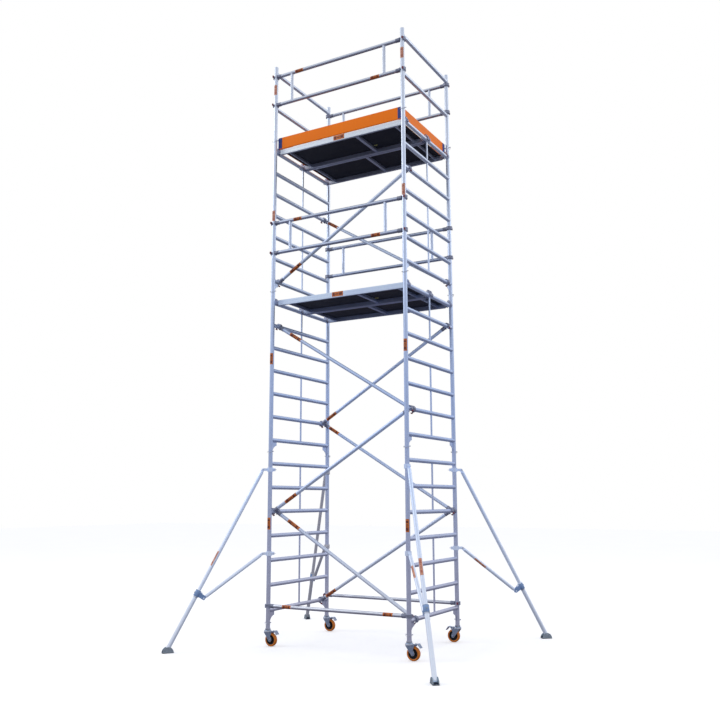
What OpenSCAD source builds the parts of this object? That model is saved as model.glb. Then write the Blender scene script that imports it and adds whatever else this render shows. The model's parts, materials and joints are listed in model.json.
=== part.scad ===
// Mobile tower scaffold: stacked ladder frames, braces, two decks, castors and stabilisers.

/* [Tower] */
// Distance between the column axes along the tower
tower_length = 1850; // [1700:10:2450]
// Distance between the column axes across the tower
tower_width = 1300; // [1300:10:1450]
// Height of one ladder frame
frame_height = 2000; // [1900:10:2100]
// Height of the lowest rung above the floor
base_rung_height = 405; // [400:1:450]

/* [Tubes] */
// Outside diameter of the columns
column_diameter = 50.8; // [48:0.1:51]
// Outside diameter of the rungs
rung_diameter = 48; // [40:0.5:48]
// Outside diameter of the braces
brace_diameter = 42; // [38:0.5:43]
// Outside diameter of the guardrail tubes
rail_diameter = 45; // [40:0.5:46]
// Outside diameter of the thin upright posts between rungs
mid_post_diameter = 22; // [18:0.5:26]
// Wall thickness of the tubes
wall = 2; // [1.5:0.1:2.4]

/* [Decks] */
// Width of one deck
deck_width = 600; // [580:1:600]
// Gap between the two decks of a platform
deck_gap = 13; // [10:1:16]
// Thickness of the deck boards
board_thickness = 12; // [9:0.5:12]
// Height of the toe boards
toe_board_height = 150; // [120:1:160]
// How far each hatch stands open
hatch_angle = 0; // [0:5:90]

/* [Castors] */
// Diameter of the castor wheels
wheel_diameter = 150; // [140:1:152]
// Width of the castor tyres
tyre_width = 45; // [36:1:46]
// Distance of the wheel axle from the swivel axis
castor_trail = 50; // [40:1:52]

/* [Stabilisers] */
// Angle of the front stabilisers from the length of the tower
front_stabiliser_angle = 52; // [30:1:60]
// Angle of the rear stabilisers from the length of the tower
rear_stabiliser_angle = 44; // [30:1:60]
// Distance of a stabiliser foot from its column axis
foot_reach = 1155; // [1100:5:1250]
// Outside diameter of the upper stabiliser tube, which the leg slides on
stabiliser_diameter = 42.4; // [40:0.2:42.6]

/* [Hidden] */
$fn = 48;

rungs_per_frame = 7;
pitch = frame_height / rungs_per_frame;
frame_base = base_rung_height - 205;
col_r = column_diameter / 2;
rung_r = rung_diameter / 2;
brace_r = brace_diameter / 2;
rail_r = rail_diameter / 2;
post_r = mid_post_diameter / 2;
weld = 0.1;
pin_rise = 66;
gusset_thick = 5;
gusset_reach = [94, 94, 74];
guard_top = frame_base + 3 * frame_height + 1095;
guard_rungs = [frame_base + 3 * frame_height + 515, frame_base + 3 * frame_height + 1005];

// corners: left front, right front, left rear, right rear
sides_x = [-1, 1, -1, 1];
sides_y = [-1, -1, 1, 1];
trail_dir = [1, 1, 1, -1];
foot_half_length = 65;
foot_half_width = 36;

function y_reach(a) = (foot_reach + foot_half_length) * sin(a) + foot_half_width * cos(a);
tower_y = (y_reach(front_stabiliser_angle) - y_reach(rear_stabiliser_angle)) / 2;
function level(n) = base_rung_height + n * pitch;
function col_x(i) = sides_x[i] * tower_length / 2;
function col_y(i) = tower_y + sides_y[i] * tower_width / 2;
function stab_angle(i) =
  i == 0 ? 180 + front_stabiliser_angle :
  i == 1 ? -front_stabiliser_angle :
  i == 2 ? 180 - rear_stabiliser_angle :
  rear_stabiliser_angle;

// ---- shared shapes ----

module pipe(r, h, t) {
  difference() {
    cylinder(r = r, h = h);
    translate([0, 0, -1])
      cylinder(r = r - t, h = h + 2);
  }
}

module rod_x(r, x0, x1) {
  translate([x0, 0, 0])
    rotate([0, 90, 0])
      cylinder(r = r, h = x1 - x0);
}

module rod_y(r, y0, y1) {
  translate([0, y1, 0])
    rotate([90, 0, 0])
      cylinder(r = r, h = y1 - y0);
}

module box(lo, hi) {
  translate(lo)
    cube([hi[0] - lo[0], hi[1] - lo[1], hi[2] - lo[2]]);
}

// plate in the x-z plane between y0 and y1
module plate_xz(y0, y1) {
  translate([0, y1, 0])
    rotate([90, 0, 0])
      linear_extrude(height = y1 - y0)
        children();
}

// ---- ladder frames ----

module column(z0, z1, pin_z) {
  translate([0, 0, z0])
    difference() {
      pipe(col_r, z1 - z0, wall);
      translate([0, 0, pin_z - z0])
        rod_x(5.2, -col_r - 2, col_r + 2);
    }
}

// one rung across the tower, its ends coped to the columns
module rung() {
  half = tower_width / 2;
  difference() {
    rod_y(rung_r, -half, half);
    rod_y(rung_r - wall, -half - 1, half + 1);
    for (s = [-1, 1])
      translate([0, s * half, -rung_r - 1])
        cylinder(r = col_r + weld, h = 2 * rung_r + 2);
  }
}

// a thin post between two neighbouring rungs
module mid_post() {
  difference() {
    translate([0, 0, rung_r - 3])
      pipe(post_r, pitch - 2 * rung_r + 6, 1.5);
    rod_y(rung_r + weld, -post_r - 2, post_r + 2);
    translate([0, 0, pitch])
      rod_y(rung_r + weld, -post_r - 2, post_r + 2);
  }
}

// gusset plate in the corner under the lowest rung, with a hollow curved edge
module gusset(reach) {
  translate([-gusset_thick / 2, col_r + weld, -rung_r - weld])
    rotate([90, 0, 90])
      linear_extrude(height = gusset_thick)
        difference() {
          translate([0, -reach - 36])
            square([reach, reach + 36]);
          translate([reach + 12, -reach - 48])
            circle(r = reach + 8);
        }
}

module end_frame(side, i) {
  z0 = frame_base + i * frame_height;
  translate([side * tower_length / 2, tower_y, 0]) {
    for (s = [-1, 1])
      translate([0, s * tower_width / 2, 0])
        column(z0 + weld, z0 + frame_height - weld, z0 + pin_rise);
    for (n = [0 : rungs_per_frame - 1])
      translate([0, 0, level(n + i * rungs_per_frame)])
        rung();
    for (n = [0, 1, 2, 4, 5])
      translate([0, 0, level(n + i * rungs_per_frame)])
        mid_post();
    for (s = [0, 1])
      mirror([0, s, 0])
        translate([0, -tower_width / 2, level(i * rungs_per_frame)])
          gusset(gusset_reach[i]);
  }
}

module guard_frame(side) {
  z0 = frame_base + 3 * frame_height;
  translate([side * tower_length / 2, tower_y, 0]) {
    for (s = [-1, 1])
      translate([0, s * tower_width / 2, 0]) {
        column(z0 + weld, guard_top - 3, z0 + pin_rise);
        translate([0, 0, guard_top - 2.9])
          cylinder(r = col_r, h = 2.9);
      }
    for (z = guard_rungs)
      translate([0, 0, z])
        rung();
  }
}

// ---- spigots and lock pins ----

module spigots() {
  color("Silver")
    for (c = [0 : 3])
      for (j = [1 : 3])
        translate([col_x(c), col_y(c), frame_base + j * frame_height - 150])
          difference() {
            pipe(col_r - wall - 0.4, 300, 2.5);
            translate([0, 0, 150 + pin_rise])
              rod_x(5.2, -col_r, col_r);
          }
}

// a through pin with a half ring of wire around the outside of the column
module lock_pin(side_y) {
  reach = col_r + 13;
  rod_x(4.75, -reach - 3, reach + 3);
  rod_x(7, reach + 2, reach + 5);
  rotate([-25, 0, side_y > 0 ? 0 : 180])
    rotate_extrude(angle = 180)
      translate([reach, 0])
        circle(r = 2.2);
}

module lock_pins() {
  color("Gainsboro")
    for (c = [0 : 3])
      for (j = [0 : 3])
        translate([col_x(c), col_y(c), frame_base + j * frame_height + pin_rise])
          lock_pin(sides_y[c]);
}

// ---- braces and guardrails ----

socket_start = 55;
jaw_reach = 15;
claw_width = 40;
claw_neck = 28;

// brace from level a on the left frame to level b on the right frame, at y
module brace_tube(a, b, y) {
  run = tower_length;
  rise = (b - a) * pitch;
  len = sqrt(run * run + rise * rise);
  translate([-tower_length / 2, y, level(a)])
    rotate([0, atan2(run, rise), 0])
      translate([0, 0, socket_start + 0.2])
        pipe(brace_r, len - 2 * socket_start - 0.4, wall);
}

// every diagonal brace: left level, right level, distance inside the column axis
function front_braces() = [[12, 8, 140], [4, 8, 75], [4, 0, 140], [14, 18, 120]];
function rear_braces() = [[8, 12, 140], [8, 4, 75], [0, 4, 140], [18, 14, 120]];
front_y = tower_y - tower_width / 2;
rear_y = tower_y + tower_width / 2;
low_brace_z = base_rung_height + rung_r + 25;
platform_levels = [13, 20];
rail_rises = [642, 1035];

module diagonal_braces_front() {
  color("LightSteelBlue")
    for (b = front_braces())
      brace_tube(b[0], b[1], front_y + b[2]);
}

module diagonal_braces_rear() {
  color("LightSteelBlue")
    for (b = rear_braces())
      brace_tube(b[0], b[1], rear_y - b[2]);
}

module long_tube(r, z) {
  translate([0, 0, z])
    difference() {
      rod_x(r, -tower_length / 2 + socket_start + 0.2, tower_length / 2 - socket_start - 0.2);
      rod_x(r - wall, -tower_length / 2, tower_length / 2);
    }
}

module horizontal_braces() {
  color("LightSteelBlue")
    for (y = [front_y, rear_y])
      translate([0, y, 0])
        long_tube(brace_r, low_brace_z);
}

// two rails joined by two upright posts
module guardrail(y, n) {
  z0 = level(n) + rail_rises[0];
  z1 = level(n) + rail_rises[1];
  color("LightSteelBlue")
    translate([0, y, 0]) {
      long_tube(rail_r, z0);
      long_tube(rail_r, z1);
      for (s = [-1, 1])
        translate([s * (tower_length / 2 - 250), 0, 0])
          difference() {
            translate([0, 0, z0 + rail_r - 12])
              pipe(19, z1 - z0 - 2 * rail_r + 24, wall);
            translate([0, 0, z0])
              rod_x(rail_r + weld, -25, 25);
            translate([0, 0, z1])
              rod_x(rail_r + weld, -25, 25);
          }
    }
}

// claw on a round bar along y; the tube leaves towards +x and the mouth opens towards -z
module claw(bar_r, tube_r) {
  difference() {
    union() {
      rod_y(bar_r + jaw_reach, -claw_width / 2, claw_width / 2);
      rod_x(tube_r + 3, 20, socket_start + claw_neck);
    }
    rod_y(bar_r + weld, -claw_width, claw_width);
    rod_x(tube_r + weld, socket_start, socket_start + claw_neck + 10);
    box([-bar_r - weld, -claw_width, -bar_r - jaw_reach - 5], [bar_r + weld, claw_width, 0]);
  }
}

// spring trigger lying against the outer lip of the claw
module trigger(bar_r) {
  r = bar_r + jaw_reach;
  difference() {
    box([-bar_r - 2, -13, -r - 10], [-bar_r + 13, 13, 0]);
    rod_y(r + 0.6, -20, 20);
  }
}

// places children as claws at both ends of every diagonal brace
module at_brace_ends() {
  for (k = [0, 1])
    for (b = k == 0 ? front_braces() : rear_braces()) {
      y = k == 0 ? front_y + b[2] : rear_y - b[2];
      slope = atan2((b[1] - b[0]) * pitch, tower_length);
      translate([-tower_length / 2, y, level(b[0])])
        rotate([0, -slope, 0])
          children();
      translate([tower_length / 2, y, level(b[1])])
        rotate([0, -slope, 0])
          mirror([1, 0, 0])
            children();
    }
}

// places children as claws on the four columns at height z; the mouths face out, or in
module at_columns(z, outward) {
  for (c = [0 : 3])
    translate([col_x(c), col_y(c), z])
      mirror([sides_x[c] > 0 ? 1 : 0, 0, 0])
        mirror([0, sides_y[c] * outward > 0 ? 1 : 0, 0])
          rotate([-90, 0, 0])
            children();
}

module claws() {
  color("Silver") {
    at_brace_ends()
      claw(rung_r, brace_r);
    at_columns(low_brace_z, -1)
      claw(col_r, brace_r);
    for (n = platform_levels)
      for (d = rail_rises)
        at_columns(level(n) + d, 1)
          claw(col_r, rail_r);
  }
}

module claw_triggers() {
  color("Maroon") {
    at_brace_ends()
      trigger(rung_r);
    at_columns(low_brace_z, -1)
      trigger(col_r);
    for (n = platform_levels)
      for (d = rail_rises)
        at_columns(level(n) + d, 1)
          trigger(col_r);
  }
}

// ---- decks ----

beam_low = -30;
beam_high = 35;
beam_width = 30;
beam_end = 52;
ledge = 21;
board_end = 68;
cross_at = [158, tower_length * 0.6216, tower_length - 158];
cross_half = [7.5, 20, 7.5];
cross_wall = 2.5;
rear_cross_at = tower_length * 0.514;
cross_height = 33;
hatch_gap = 2;
hatch_x0 = cross_at[1] + 3;
hatch_x1 = cross_at[2] - 1;
hatch_y0 = beam_width + 3;
deck_y0 = front_y + (tower_width - 2 * deck_width - deck_gap) / 2;
function deck_front_edge(k) = deck_y0 + k * (deck_width + deck_gap);
hinge_z = ledge + board_thickness + 6;

// hollow side beam, its outer face at y = 0
module side_beam() {
  translate([beam_end, 0, 0])
    rotate([90, 0, 90])
      linear_extrude(height = tower_length - 2 * beam_end)
        difference() {
          union() {
            translate([0, beam_low])
              square([beam_width, ledge - beam_low]);
            translate([0, beam_low])
              square([3, beam_high - beam_low]);
          }
          translate([3, beam_low + 3])
            square([beam_width - 6, ledge - beam_low - 6]);
        }
}

// hollow bar across the deck between the side beams, half wide each way
module cross_member(x, half) {
  translate([x - half, beam_width + weld, ledge - 0.4 - cross_height])
    difference() {
      cube([2 * half, deck_width - 2 * beam_width - 2 * weld, cross_height]);
      translate([cross_wall, -1, cross_wall])
        cube([2 * (half - cross_wall), deck_width, cross_height - 2 * cross_wall]);
    }
}

// k = 0 is the front deck, which has the hatch
module deck_frame(k, n) {
  color("LightGray")
    translate([-tower_length / 2, deck_front_edge(k), level(n)]) {
      side_beam();
      translate([0, deck_width, 0])
        mirror([0, 1, 0])
          side_beam();
      for (c = [0 : 2])
        cross_member(c == 1 && k == 1 ? rear_cross_at : cross_at[c], cross_half[c]);
      if (k == 0)
        hinge_pin();
    }
}

// hinge pin with its two fixed end knuckles on the front edge strip
module hinge_pin() {
  translate([0, hatch_y0, hinge_z]) {
    rod_x(3, hatch_x0 + 30, hatch_x1 - 30);
    for (x = [hatch_x0 + 34, hatch_x1 - 50])
      translate([x, 0, 0])
        rod_x(5, 0, 16);
    for (x = [hatch_x0 + 34, hatch_x1 - 50])
      box([x, -26, -5.8], [x + 16, -2, -3.8]);
    for (x = [hatch_x0 + 34, hatch_x1 - 50])
      box([x, -5, -5.8], [x + 16, -1, 0]);
  }
}

module board(x0, x1, y0, y1) {
  box([x0, y0, ledge + weld], [x1, y1, ledge + weld + board_thickness]);
}

module deck_boards() {
  edge = 3.2;
  far = deck_width - edge;
  color("SaddleBrown")
    for (n = platform_levels)
      translate([-tower_length / 2, 0, level(n)]) {
        translate([0, deck_front_edge(0), 0]) {
          board(board_end, hatch_x0 - hatch_gap, edge, far);
          board(hatch_x1 + hatch_gap, tower_length - board_end, edge, far);
          board(hatch_x0 - hatch_gap + weld, hatch_x1 + hatch_gap - weld, edge, hatch_y0 - hatch_gap);
          board(hatch_x0 - hatch_gap + weld, hatch_x1 + hatch_gap - weld,
            deck_width - hatch_y0 + hatch_gap, far);
        }
        translate([0, deck_front_edge(1), 0])
          board(board_end, tower_length - board_end, edge, far);
      }
}

// hatch panel with two hinge leaves
module hatch(n) {
  color("Peru")
    translate([-tower_length / 2, deck_front_edge(0) + hatch_y0, level(n) + hinge_z])
      rotate([hatch_angle, 0, 0])
        translate([0, -hatch_y0, -hinge_z]) {
          board(hatch_x0, hatch_x1, hatch_y0 + 2, deck_width - hatch_y0);
          for (x = [hatch_x0 + 52, hatch_x1 - 112])
            translate([0, hatch_y0, hinge_z])
              difference() {
                union() {
                  translate([x, 0, 0])
                    rod_x(5, 0, 60);
                  box([x, 0, -5.8], [x + 60, 38, -3.4]);
                }
                rod_x(3.05, x - 1, x + 61);
              }
        }
}

// casting that hangs a side beam on the rung at x = 0, with a latch lump on top
module deck_hook() {
  lip = 12;
  plate_xz(0, beam_width)
    difference() {
      union() {
        circle(r = rung_r + 16);
        translate([0, rung_r + 20])
          circle(r = 20);
        translate([0, -20])
          square([beam_end - weld, rung_r + 29]);
      }
      circle(r = rung_r + weld);
      translate([-rung_r - weld, -60])
        square([2 * (rung_r + weld), 60]);
      translate([-60, -60 - lip])
        square([60 - rung_r - weld, 60]);
    }
}

module deck_hooks() {
  color("Gray")
    for (n = platform_levels)
      for (k = [0, 1])
        for (y = [0, deck_width - beam_width])
          translate([0, deck_front_edge(k) + y, level(n)])
            for (s = [0, 1])
              mirror([s, 0, 0])
                translate([-tower_length / 2, 0, 0])
                  deck_hook();
}

// ---- toe boards ----

toe_z = level(platform_levels[1]) + beam_high + 8;
toe_thick = 25;
toe_in_y = 30;
toe_in_x = 32;
toe_end_x = 36;
toe_end_y = 60;

module toe_boards_long() {
  color("DarkOrange")
    for (s = [0, 1])
      translate([0, tower_y, 0])
        mirror([0, s, 0])
          translate([0, -tower_width / 2 + toe_in_y, toe_z])
            box([-tower_length / 2 + toe_end_x, 0, 0],
              [tower_length / 2 - toe_end_x, toe_thick, toe_board_height]);
}

module toe_boards_short() {
  color("DarkOrange")
    for (s = [0, 1])
      translate([0, tower_y, 0])
        mirror([s, 0, 0])
          translate([-tower_length / 2 + toe_in_x, 0, toe_z])
            box([0, -tower_width / 2 + toe_end_y, 0],
              [toe_thick, tower_width / 2 - toe_end_y, toe_board_height]);
}

// corner clip with a pocket for the end of each of two toe boards
module toe_clip() {
  slack = 0.2;
  skin = 3.5;
  arm_end = 85;
  x0 = toe_in_x - skin;
  y0 = toe_in_y - skin;
  translate([0, 0, toe_z + 1])
    linear_extrude(height = toe_board_height - 6)
      difference() {
        union() {
          translate([x0, y0])
            square([toe_thick + 2 * skin, toe_end_y + 32 - y0]);
          translate([x0, y0])
            square([arm_end - x0, toe_thick + 2 * skin]);
        }
        translate([toe_end_x - slack, toe_in_y - slack])
          square([60, toe_thick + 2 * slack]);
        translate([toe_in_x - slack, toe_end_y - slack])
          square([toe_thick + 2 * slack, 60]);
      }
}

module toe_board_clips() {
  color("MidnightBlue")
    for (c = [0 : 3])
      translate([col_x(c), col_y(c), 0])
        mirror([sides_x[c] > 0 ? 1 : 0, 0, 0])
          mirror([0, sides_y[c] > 0 ? 1 : 0, 0])
            toe_clip();
}

// ---- castors ----

wheel_r = wheel_diameter / 2;
cap_r = 43.5;
cap_low = 158;
cap_top = 185.5;
king_r = 9;
fork_in = 26;
fork_thick = 5;
pedal_x = castor_trail + 14;
pedal_z = 167;

module at_castor(i) {
  translate([col_x(i), col_y(i), 0])
    rotate([0, 0, trail_dir[i] > 0 ? 0 : 180])
      children();
}

// plug inside the column, collar under it and king pin with its nut
module castor_stem() {
  difference() {
    union() {
      translate([0, 0, 186.1])
        cylinder(r = col_r - wall - 0.4, h = 150);
      translate([0, 0, 186.1])
        cylinder(r = 31, h = frame_base - 186.1);
    }
    translate([0, 0, frame_base + pin_rise])
      rod_x(5.2, -col_r, col_r);
    translate([0, 0, frame_base])
      cylinder(r = col_r - wall - 3, h = 200);
  }
  translate([0, 0, cap_low - 9])
    cylinder(r = king_r, h = 186.2 - cap_low + 9);
  translate([0, 0, cap_low - 12])
    cylinder(r = 15, h = 11.4, $fn = 6);
}

module castor_stems() {
  color("DarkGray")
    for (i = [0 : 3])
      at_castor(i)
        castor_stem();
}

module fork_cheek() {
  difference() {
    union() {
      polygon([[-34, cap_low - weld], [36, cap_low - weld], [castor_trail + 21, wheel_r],
        [castor_trail - 21, wheel_r]]);
      translate([castor_trail, wheel_r])
        circle(r = 21);
      polygon([[8, cap_low - 30], [castor_trail + 4, cap_low - 42], [pedal_x + 9, pedal_z - 2],
        [pedal_x - 9, pedal_z - 1], [pedal_x - 18, cap_low - weld], [30, cap_low - weld]]);
      translate([pedal_x, pedal_z])
        circle(r = 10);
    }
    translate([castor_trail, wheel_r])
      circle(r = 6 + weld);
    translate([pedal_x, pedal_z])
      circle(r = 4 + weld);
  }
}

module castor_fork(i) {
  color("SlateGray")
    at_castor(i) {
      translate([0, 0, cap_low])
        rotate_extrude()
          polygon([[king_r + 0.05, 0], [cap_r, 0], [cap_r, 12], [cap_r - 2.5, 18],
            [cap_r - 7.5, 23.5], [cap_r - 14, 26.7], [cap_r - 20, cap_top - cap_low],
            [king_r + 0.05, cap_top - cap_low]]);
      for (s = [0, 1])
        mirror([0, s, 0])
          plate_xz(fork_in, fork_in + fork_thick)
            fork_cheek();
      translate([castor_trail, 0, wheel_r]) {
        rod_y(6, -38, 38);
        for (y = [-38, fork_in + fork_thick + weld])
          translate([0, y + 7 - weld, 0])
            rotate([90, 0, 0])
              cylinder(r = 10.5, h = 7 - weld, $fn = 6);
      }
      translate([pedal_x, 0, pedal_z])
        rod_y(4, -fork_in - fork_thick - 2, fork_in + fork_thick + 2);
    }
}

module at_wheel(i) {
  at_castor(i)
    translate([castor_trail, 0, wheel_r])
      rotate([90, 0, 0])
        children();
}

module castor_core(i) {
  color("Black")
    at_wheel(i)
      rotate_extrude()
        union() {
          translate([6.05, -25])
            square([11, 50]);
          translate([16, -7])
            square([34, 14]);
          translate([wheel_r - 27, -17])
            square([7, 34]);
        }
}

module castor_tyre(i) {
  half = tyre_width / 2;
  color("DarkOrange")
    at_wheel(i)
      rotate_extrude()
        polygon([[wheel_r - 19.9, -half + 3], [wheel_r - 16, -half], [wheel_r - 8, -half],
          [wheel_r - 4, -half + 1.5], [wheel_r - 1.4, -half + 4.4], [wheel_r, -half + 9],
          [wheel_r, half - 9], [wheel_r - 1.4, half - 4.4], [wheel_r - 4, half - 1.5],
          [wheel_r - 8, half], [wheel_r - 16, half], [wheel_r - 19.9, half - 3]]);
}

// foot lever on the trailing side of the fork
module brake_pedal(i) {
  color("WhiteSmoke")
    at_castor(i)
      translate([pedal_x, 0, pedal_z])
        difference() {
          union() {
            rod_y(8, -fork_in + 0.6, fork_in - 0.6);
            plate_xz(-25, 25)
              polygon([[2, 7], [43, 14], [50, 9], [46, 3], [41, 7], [5, 1]]);
            plate_xz(-30, 30)
              polygon([[44, 14], [50, 13], [80, -27], [75, -31], [44, 7]]);
            box([12, -12, -13], [24, 12, 4]);
          }
          rod_y(4.05, -40, 40);
        }
}

// ---- stabilisers ----

upper_pivot = [90, 2045];
lower_pivot = [80, 1075];
foot_pivot = [foot_reach, 45];
sole_thick = 8;
strut_pivot = [770, 575];
stab_r = stabiliser_diameter / 2;
stab_wall = 2.5;
stab_end = 2180;
leg_r = stab_r + 3;
strut_r = 20;
tube_run = foot_pivot[0] - upper_pivot[0];
tube_drop = upper_pivot[1] - foot_pivot[1];
tube_len = sqrt(tube_run * tube_run + tube_drop * tube_drop);
tube_tilt = atan2(tube_run, -tube_drop);
sleeve_end = 1640;
leg_start = sleeve_end + 1;
// the lower clamps are set by hand, each at its own height
lower_lift = [-20, 33, 0, 28];
strut_run = strut_pivot[0] - lower_pivot[0];
function strut_drop(i) = lower_pivot[1] + lower_lift[i] - strut_pivot[1];
function strut_len(i) = sqrt(strut_run * strut_run + strut_drop(i) * strut_drop(i));
function strut_tilt(i) = atan2(strut_run, -strut_drop(i));
// strut pivot seen from the upper pivot: along the tube, and off its axis towards the tower
dx = strut_pivot[0] - upper_pivot[0];
dz = strut_pivot[1] - upper_pivot[1];
strut_along = (dx * tube_run - dz * tube_drop) / tube_len;
strut_off = -(dx * tube_drop + dz * tube_run) / tube_len;

module at_column(i) {
  translate([col_x(i), col_y(i), 0])
    rotate([0, 0, stab_angle(i)])
      children();
}

// z of the children runs down the stabiliser tube, and their x points to the strut side
module along_tube() {
  translate([upper_pivot[0], 0, upper_pivot[1]])
    rotate([0, tube_tilt, 0])
      children();
}

module hex_bolt(r, half) {
  rod_y(r, -half - 5, half + 5);
  for (y = [-half - 5, half + 0.2])
    translate([0, y + 5, 0])
      rotate([90, 0, 0])
        cylinder(r = 1.75 * r, h = 5, $fn = 6);
}

// column clamp with its arm and eye; reach is the distance to the pivot
module clamp(reach) {
  difference() {
    union() {
      translate([0, 0, -25])
        cylinder(r = 36, h = 50);
      box([20, -8, -15], [reach, 8, 15]);
      translate([reach, 0, 0])
        rod_y(15, -8, 8);
      box([-62, -14, -17], [-20, -1, 17]);
      box([-62, 1, -17], [-20, 14, 17]);
    }
    translate([0, 0, -30])
      cylinder(r = col_r + 0.05, h = 60);
    translate([reach, 0, 0])
      rod_y(6.1, -20, 20);
    box([-70, -1, -30], [-10, 1, 30]);
    translate([-49, 0, 0])
      rod_y(5.2, -20, 20);
  }
  translate([-49, 0, 0])
    rod_y(5, -18, 30);
  translate([-49, 18, 0])
    rod_y(9, 0, 10);
}

// forked plug that joins a tube end to the eye of a clamp or bracket
module fork_plug(plug_r) {
  difference() {
    union() {
      for (y = [-12.6, 8.2])
        translate([0, y, 0]) {
          box([-14, 0, 0], [14, 4.4, 34]);
          rod_y(14, 0, 4.4);
        }
      translate([0, 0, 32])
        cylinder(r = plug_r, h = 34);
    }
    rod_y(6.1, -20, 20);
  }
}

module stabiliser_arm(i) {
  color("LightSteelBlue")
    at_column(i) {
      for (p = [upper_pivot, lower_pivot + [0, lower_lift[i]]])
        translate([0, 0, p[1]]) {
          clamp(p[0]);
          translate([p[0], 0, 0])
            hex_bolt(6, 13);
        }
      along_tube() {
        fork_plug(stab_r - stab_wall - 0.2);
        translate([0, 0, 36])
          pipe(stab_r, stab_end - 36, stab_wall);
        sleeve();
      }
      translate([lower_pivot[0], 0, lower_pivot[1] + lower_lift[i]])
        rotate([0, strut_tilt(i), 0]) {
          fork_plug(strut_r - wall - 0.2);
          translate([0, 0, 36])
            pipe(strut_r, strut_len(i) - 72, wall);
          translate([0, 0, strut_len(i)])
            mirror([0, 0, 1])
              fork_plug(strut_r - wall - 0.2);
        }
      translate([strut_pivot[0], 0, strut_pivot[1]])
        hex_bolt(6, 13);
    }
}

// collar on the tube with the tongue that carries the strut
module sleeve() {
  difference() {
    union() {
      translate([0, 0, sleeve_end - 78])
        cylinder(r = 31, h = 78);
      box([0, -8, sleeve_end - 48], [strut_off, 8, sleeve_end - 8]);
      translate([strut_off, 0, strut_along])
        rod_y(15, -8, 8);
      box([0, -16, sleeve_end - 70], [strut_off - 38, 16, sleeve_end - 6]);
    }
    translate([0, 0, sleeve_end - 90])
      cylinder(r = stab_r + weld, h = 100);
    translate([strut_off, 0, strut_along])
      rod_y(6.1, -20, 20);
  }
}

module stabiliser_leg(i) {
  color("Gainsboro")
    at_column(i)
      along_tube()
        difference() {
          translate([0, 0, leg_start])
            pipe(leg_r, tube_len + 20 - leg_start, leg_r - stab_r - weld);
          translate([0, 0, tube_len])
            rod_y(6.05, -40, 40);
        }
}

module stabiliser_foot(i) {
  color("DimGray")
    at_column(i)
      translate([foot_pivot[0], 0, 0]) {
        box([-foot_half_length, -foot_half_width, 0],
          [foot_half_length, foot_half_width, sole_thick]);
        for (y = [-30, 25])
          difference() {
            translate([0, y, 2])
              rod_y(foot_half_length - 2, 0, 5);
            box([-90, -60, -100], [90, 60, sole_thick + weld]);
            translate([0, y, foot_pivot[1]])
              rod_y(6 + weld, -5, 10);
          }
        translate([0, 0, foot_pivot[1]]) {
          rod_y(6, -35, 35);
          for (y = [-35.2, 30.2])
            translate([0, y + 5, 0])
              rotate([90, 0, 0])
                cylinder(r = 10.5, h = 5, $fn = 6);
        }
      }
}

// ---- nodes ----

module end_frame_node(side, i) {
  color("LightSteelBlue")
    end_frame(side, i);
}

module guard_frame_node(side) {
  color("LightSteelBlue")
    guard_frame(side);
}

end_frame_node(-1, 0);  // end_frame_left_1
end_frame_node(-1, 1);  // end_frame_left_2
end_frame_node(-1, 2);  // end_frame_left_3
end_frame_node(1, 0);  // end_frame_right_1
end_frame_node(1, 1);  // end_frame_right_2
end_frame_node(1, 2);  // end_frame_right_3
guard_frame_node(-1);  // guard_frame_left
guard_frame_node(1);  // guard_frame_right
spigots();
lock_pins();
diagonal_braces_front();
diagonal_braces_rear();
horizontal_braces();
guardrail(front_y, 13);  // guardrail_front_lower
guardrail(front_y, 20);  // guardrail_front_upper
guardrail(rear_y, 13);  // guardrail_rear_lower
guardrail(rear_y, 20);  // guardrail_rear_upper
claws();
claw_triggers();
deck_frame(0, 13);  // deck_frame_front_lower
deck_frame(0, 20);  // deck_frame_front_upper
deck_frame(1, 13);  // deck_frame_rear_lower
deck_frame(1, 20);  // deck_frame_rear_upper
deck_boards();
deck_hooks();
hatch(13);  // hatch_lower
hatch(20);  // hatch_upper
toe_boards_long();
toe_boards_short();
toe_board_clips();
castor_stems();
castor_fork(0);  // castor_fork_front_left
castor_fork(1);  // castor_fork_front_right
castor_fork(2);  // castor_fork_rear_left
castor_fork(3);  // castor_fork_rear_right
castor_core(0);  // castor_core_front_left
castor_core(1);  // castor_core_front_right
castor_core(2);  // castor_core_rear_left
castor_core(3);  // castor_core_rear_right
castor_tyre(0);  // castor_tyre_front_left
castor_tyre(1);  // castor_tyre_front_right
castor_tyre(2);  // castor_tyre_rear_left
castor_tyre(3);  // castor_tyre_rear_right
brake_pedal(0);  // brake_pedal_front_left
brake_pedal(1);  // brake_pedal_front_right
brake_pedal(2);  // brake_pedal_rear_left
brake_pedal(3);  // brake_pedal_rear_right
stabiliser_arm(0);  // stabiliser_arm_front_left
stabiliser_arm(1);  // stabiliser_arm_front_right
stabiliser_arm(2);  // stabiliser_arm_rear_left
stabiliser_arm(3);  // stabiliser_arm_rear_right
stabiliser_leg(0);  // stabiliser_leg_front_left
stabiliser_leg(1);  // stabiliser_leg_front_right
stabiliser_leg(2);  // stabiliser_leg_rear_left
stabiliser_leg(3);  // stabiliser_leg_rear_right
stabiliser_foot(0);  // stabiliser_foot_front_left
stabiliser_foot(1);  // stabiliser_foot_front_right
stabiliser_foot(2);  // stabiliser_foot_rear_left
stabiliser_foot(3);  // stabiliser_foot_rear_right
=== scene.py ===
"""Looks of the mobile tower scaffold: materials, small parts and studio around its CAD frame."""
import json
from math import atan2, cos, pi, radians, sin, sqrt

import bmesh
import bpy
from mathutils import Matrix, Vector


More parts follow.
